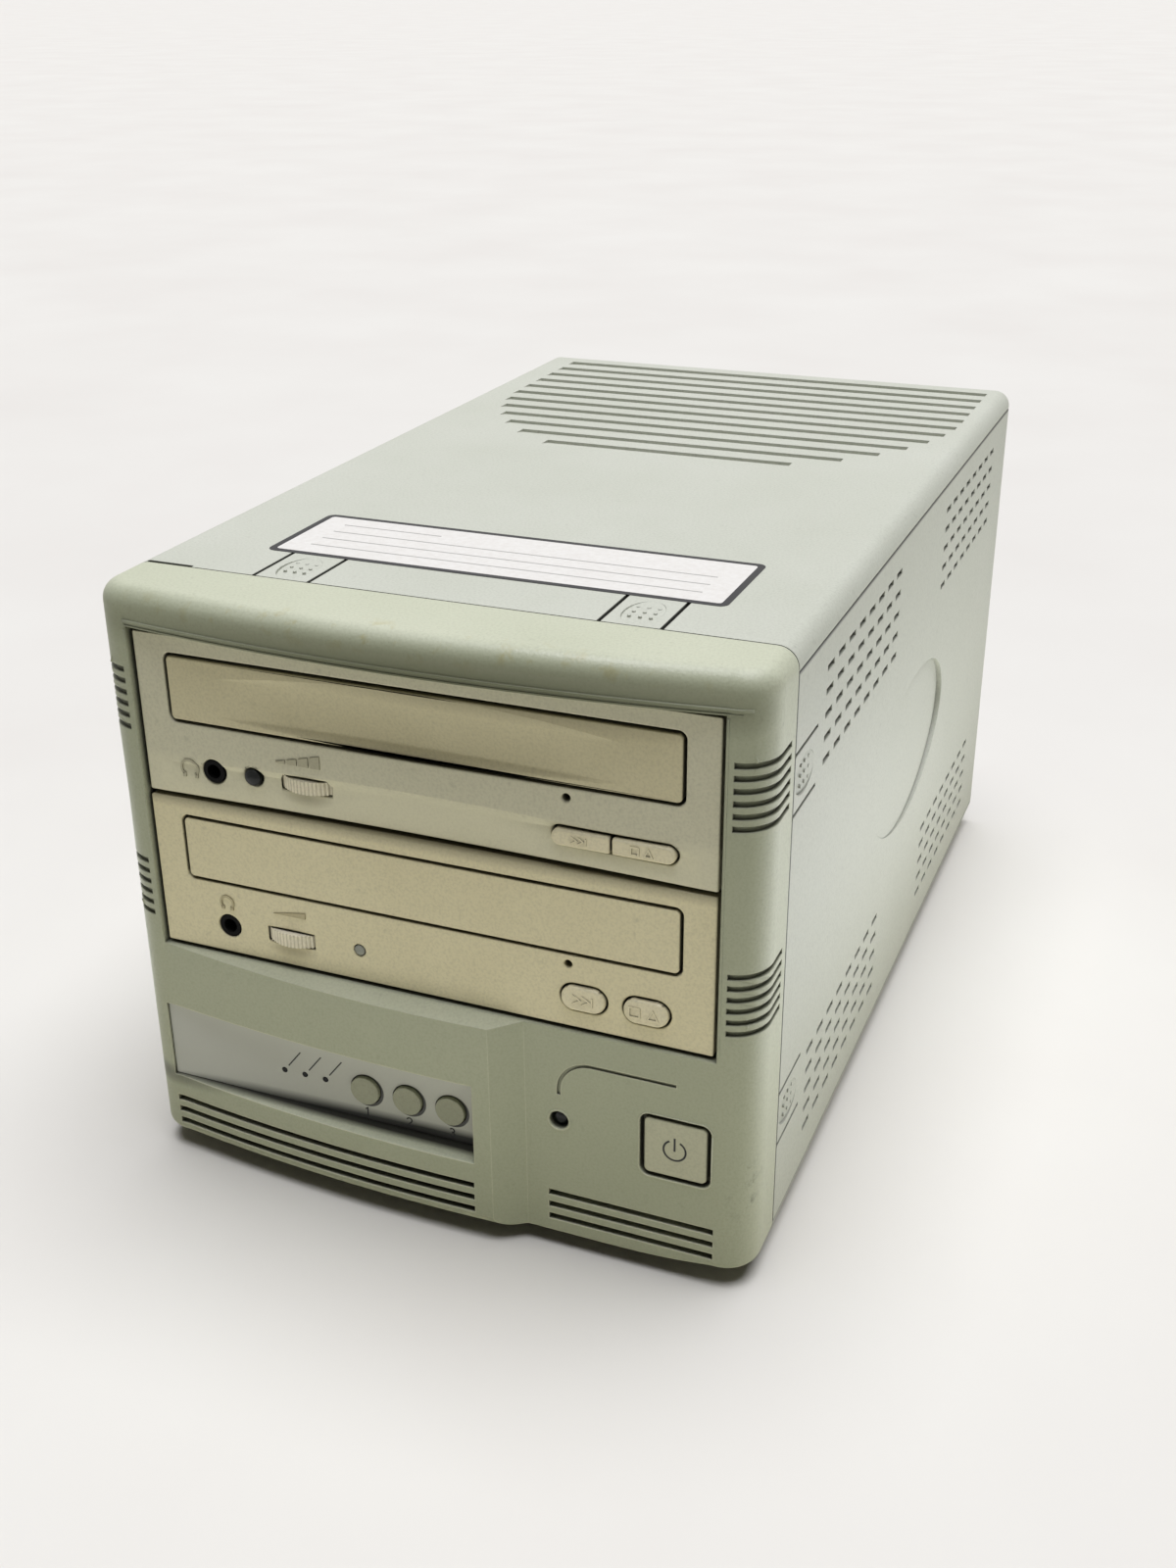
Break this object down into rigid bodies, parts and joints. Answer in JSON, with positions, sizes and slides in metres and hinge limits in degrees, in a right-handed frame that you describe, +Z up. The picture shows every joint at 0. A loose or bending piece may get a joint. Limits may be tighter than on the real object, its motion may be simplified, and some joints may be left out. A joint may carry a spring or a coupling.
{
  "type": "cd duplicator",
  "caption": "Desktop disc duplicator: stacked tray-loading drives in a moulded case with copy keys, a power key, vents, a rear fan and a power inlet.",
  "frame": {"origin": "bottom centre of the whole object, on the plane the feet stand on", "axes": "+Z up, -Y towards the front with the drive faces, +X to the right of someone facing the front"},
  "size_m": [0.17, 0.285, 0.162],
  "materials": {
    "case_plastic": "fine moulded grain, aged grey-green",
    "upper_face_plastic": "fine moulded grain, grey-beige",
    "upper_door_plastic": "fine moulded grain, olive-beige",
    "lower_face_plastic": "fine moulded grain, aged beige",
    "button_plastic": "smooth beige",
    "key_plastic": "smooth grey-green",
    "power_key_plastic": "smooth, a little browner than the case",
    "wheel_plastic": "knurled off-white",
    "white_plastic": "plain moulded",
    "black_plastic": "plain moulded",
    "dark_lens": "dark translucent",
    "overlay_film": "printed film, neutral grey",
    "sheet_steel": "plated sheet",
    "bright_steel": "plated",
    "foot_rubber": "soft black",
    "board_laminate": "lacquered laminate",
    "cable_grey": "ribbed insulation"
  },
  "bodies": {
    "case": {"front_bezel": "case_plastic", "top_cover": "case_plastic", "left_side_panel": "case_plastic", "right_side_panel": "case_plastic", "base_tray": "case_plastic", "rear_panel": "sheet_steel", "drive_cage": "sheet_steel", "rubber_feet": "foot_rubber", "drive_screws": "bright_steel", "case_screws": "bright_steel", "control_overlay": "overlay_film", "status_leds": "dark_lens", "panel_board": "board_laminate", "power_switch": "black_plastic", "power_led": "dark_lens", "power_supply": "sheet_steel", "power_inlet": "black_plastic", "fan_frame": "black_plastic", "fan_guard": "bright_steel", "controller_board": "board_laminate", "data_ribbons": "cable_grey", "guide_rods": "bright_steel", "disc_clamps": "white_plastic", "lower_drive_case": "sheet_steel", "lower_drive_cover": "sheet_steel", "lower_drive_bezel": "lower_face_plastic", "lower_loader_frame": "black_plastic", "lower_traverse_deck": "sheet_steel", "lower_headphone_jack": "black_plastic", "lower_drive_lamp": "dark_lens", "lower_drive_board": "board_laminate", "upper_drive_case": "sheet_steel", "upper_drive_cover": "sheet_steel", "upper_drive_bezel": "upper_face_plastic", "upper_loader_frame": "black_plastic", "upper_traverse_deck": "sheet_steel", "upper_headphone_jack": "black_plastic", "upper_drive_lamp": "dark_lens", "upper_drive_board": "board_laminate"},
    "lower_tray_body": {"lower_tray": "black_plastic", "lower_tray_door": "lower_face_plastic"},
    "lower_gear_body": {"lower_loading_gear": "white_plastic"},
    "lower_spindle_body": {"lower_spindle": "black_plastic"},
    "lower_sled_body": {"lower_pickup_sled": "black_plastic"},
    "lower_wheel_body": {"lower_volume_wheel": "wheel_plastic"},
    "lower_skip_body": {"lower_skip_button": "button_plastic"},
    "lower_eject_body": {"lower_eject_button": "button_plastic"},
    "upper_tray_body": {"upper_tray": "black_plastic", "upper_tray_door": "upper_door_plastic"},
    "upper_gear_body": {"upper_loading_gear": "white_plastic"},
    "upper_spindle_body": {"upper_spindle": "black_plastic"},
    "upper_sled_body": {"upper_pickup_sled": "black_plastic"},
    "upper_wheel_body": {"upper_volume_wheel": "wheel_plastic"},
    "upper_skip_body": {"upper_skip_button": "button_plastic"},
    "upper_eject_body": {"upper_eject_button": "button_plastic"},
    "mode_body": {"mode_button": "key_plastic"},
    "speed_body": {"speed_button": "key_plastic"},
    "run_body": {"run_button": "key_plastic"},
    "power_key_body": {"power_button": "power_key_plastic"},
    "fan_body": {"fan_rotor": "black_plastic"}
  },
  "joints": [
    {"name": "lower_tray_slide", "type": "slide", "parent": "case", "child": "lower_tray_body", "axis": [0, -1, 0], "range_m": [0, 0.13]},
    {"name": "lower_gear_turn", "type": "hinge", "parent": "case", "child": "lower_gear_body", "pos_m": [0.043, -0.1145, 0.0882], "axis": [0, 0, 1], "range_deg": [-931.5, 0]},
    {"name": "lower_spindle_turn", "type": "hinge", "parent": "case", "child": "lower_spindle_body", "pos_m": [0, -0.0685, 0.0815], "axis": [0, 0, 1], "continuous": true},
    {"name": "lower_sled_slide", "type": "slide", "parent": "case", "child": "lower_sled_body", "axis": [0, 1, 0], "range_m": [0, 0.034]},
    {"name": "lower_volume_turn", "type": "hinge", "parent": "case", "child": "lower_wheel_body", "pos_m": [-0.0369, -0.1283, 0.0744], "axis": [0, 0, 1], "range_deg": [-140, 140]},
    {"name": "lower_skip_press", "type": "slide", "parent": "case", "child": "lower_skip_body", "axis": [0, 1, 0], "range_m": [0, 0.0008], "stiffness_N_per_m": 500},
    {"name": "lower_eject_press", "type": "slide", "parent": "case", "child": "lower_eject_body", "axis": [0, 1, 0], "range_m": [0, 0.0008], "stiffness_N_per_m": 500},
    {"name": "upper_tray_slide", "type": "slide", "parent": "case", "child": "upper_tray_body", "axis": [0, -1, 0], "range_m": [0, 0.13]},
    {"name": "upper_gear_turn", "type": "hinge", "parent": "case", "child": "upper_gear_body", "pos_m": [0.043, -0.1145, 0.1312], "axis": [0, 0, 1], "range_deg": [-931.5, 0]},
    {"name": "upper_spindle_turn", "type": "hinge", "parent": "case", "child": "upper_spindle_body", "pos_m": [0, -0.0685, 0.1245], "axis": [0, 0, 1], "continuous": true},
    {"name": "upper_sled_slide", "type": "slide", "parent": "case", "child": "upper_sled_body", "axis": [0, 1, 0], "range_m": [0, 0.034]},
    {"name": "upper_volume_turn", "type": "hinge", "parent": "case", "child": "upper_wheel_body", "pos_m": [-0.0297, -0.1274, 0.1174], "axis": [0, 0, 1], "range_deg": [-140, 140]},
    {"name": "upper_skip_press", "type": "slide", "parent": "case", "child": "upper_skip_body", "axis": [0, 1, 0], "range_m": [0, 0.0008], "stiffness_N_per_m": 500},
    {"name": "upper_eject_press", "type": "slide", "parent": "case", "child": "upper_eject_body", "axis": [0, 1, 0], "range_m": [0, 0.0008], "stiffness_N_per_m": 500},
    {"name": "mode_press", "type": "slide", "parent": "case", "child": "mode_body", "axis": [0, 1, 0], "range_m": [0, 0.001], "stiffness_N_per_m": 500},
    {"name": "speed_press", "type": "slide", "parent": "case", "child": "speed_body", "axis": [0, 1, 0], "range_m": [0, 0.001], "stiffness_N_per_m": 500},
    {"name": "run_press", "type": "slide", "parent": "case", "child": "run_body", "axis": [0, 1, 0], "range_m": [0, 0.001], "stiffness_N_per_m": 500},
    {"name": "power_press", "type": "slide", "parent": "case", "child": "power_key_body", "axis": [0, 1, 0], "range_m": [0, 0.002], "stiffness_N_per_m": 800},
    {"name": "fan_turn", "type": "hinge", "parent": "case", "child": "fan_body", "pos_m": [0, 0.126, 0.1121], "axis": [0, 1, 0], "continuous": true}
  ],
  "couplings": [
    {"joint": "lower_gear_turn", "follows": "lower_tray_slide", "rad_per_m": -125},
    {"joint": "upper_gear_turn", "follows": "upper_tray_slide", "rad_per_m": -125}
  ]
}
